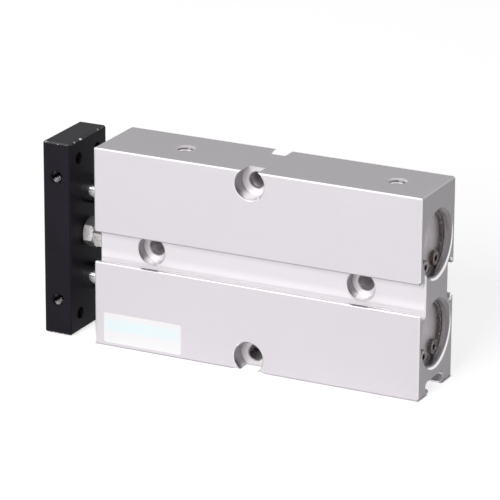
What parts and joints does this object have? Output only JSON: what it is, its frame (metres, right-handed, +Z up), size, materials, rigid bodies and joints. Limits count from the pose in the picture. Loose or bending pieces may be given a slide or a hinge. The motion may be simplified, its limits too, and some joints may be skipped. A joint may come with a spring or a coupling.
{
  "type": "twin rod pneumatic cylinder",
  "caption": "Slim double acting pneumatic cylinder: two parallel piston rods joined by a front plate slide out of one rectangular extruded body with slots, ports and mounting holes.",
  "frame": {"origin": "centre of the body's four mounting holes at mid thickness, half way up the body", "axes": "+X along the body from the rod end to the rear, +Y through the thickness to the back face, +Z up to the face with the ports"},
  "size_m": [0.1084, 0.021, 0.054],
  "materials": {
    "body_aluminium": "fine satin, clear anodised extrusion",
    "black_plate": "black anodised, satin",
    "plated_steel": "nickel plated, semi bright",
    "black_screw": "black oxide, oiled",
    "rod_chrome": "ground and hard chromed",
    "ring_steel": "phosphated spring steel",
    "guide_aluminium": "turned",
    "cap_aluminium": "turned and anodised",
    "piston_aluminium": "turned",
    "bush_bronze": "sintered bronze",
    "seal_rubber": "moulded nitrile rubber",
    "urethane": "moulded urethane",
    "magnet": "plastic bonded magnet",
    "wear_plastic": "filled wear plastic"
  },
  "bodies": {
    "housing": {"cylinder_body": "body_aluminium", "upper_rod_guide": "guide_aluminium", "upper_rod_bush": "bush_bronze", "upper_rod_seal": "seal_rubber", "upper_guide_o_ring": "seal_rubber", "upper_front_circlip": "ring_steel", "upper_rear_cap": "cap_aluminium", "upper_cap_o_ring": "seal_rubber", "upper_rear_circlip": "ring_steel", "upper_rear_bumper": "urethane", "lower_rod_guide": "guide_aluminium", "lower_rod_bush": "bush_bronze", "lower_rod_seal": "seal_rubber", "lower_guide_o_ring": "seal_rubber", "lower_front_circlip": "ring_steel", "lower_rear_cap": "cap_aluminium", "lower_cap_o_ring": "seal_rubber", "lower_rear_circlip": "ring_steel", "lower_rear_bumper": "urethane"},
    "carriage": {"front_plate": "black_plate", "rod_screws": "black_screw", "stop_bolt": "plated_steel", "stop_nut": "plated_steel", "stop_pad": "urethane", "upper_piston_rod": "rod_chrome", "upper_piston": "piston_aluminium", "upper_magnet_ring": "magnet", "upper_wear_ring": "wear_plastic", "upper_piston_seal": "seal_rubber", "upper_front_bumper": "urethane", "upper_piston_nut": "plated_steel", "lower_piston_rod": "rod_chrome", "lower_piston": "piston_aluminium", "lower_magnet_ring": "magnet", "lower_wear_ring": "wear_plastic", "lower_piston_seal": "seal_rubber", "lower_front_bumper": "urethane", "lower_piston_nut": "plated_steel"}
  },
  "joints": [
    {"name": "stroke", "type": "slide", "parent": "housing", "child": "carriage", "axis": [-1, 0, 0], "range_m": [0, 0.04]}
  ]
}
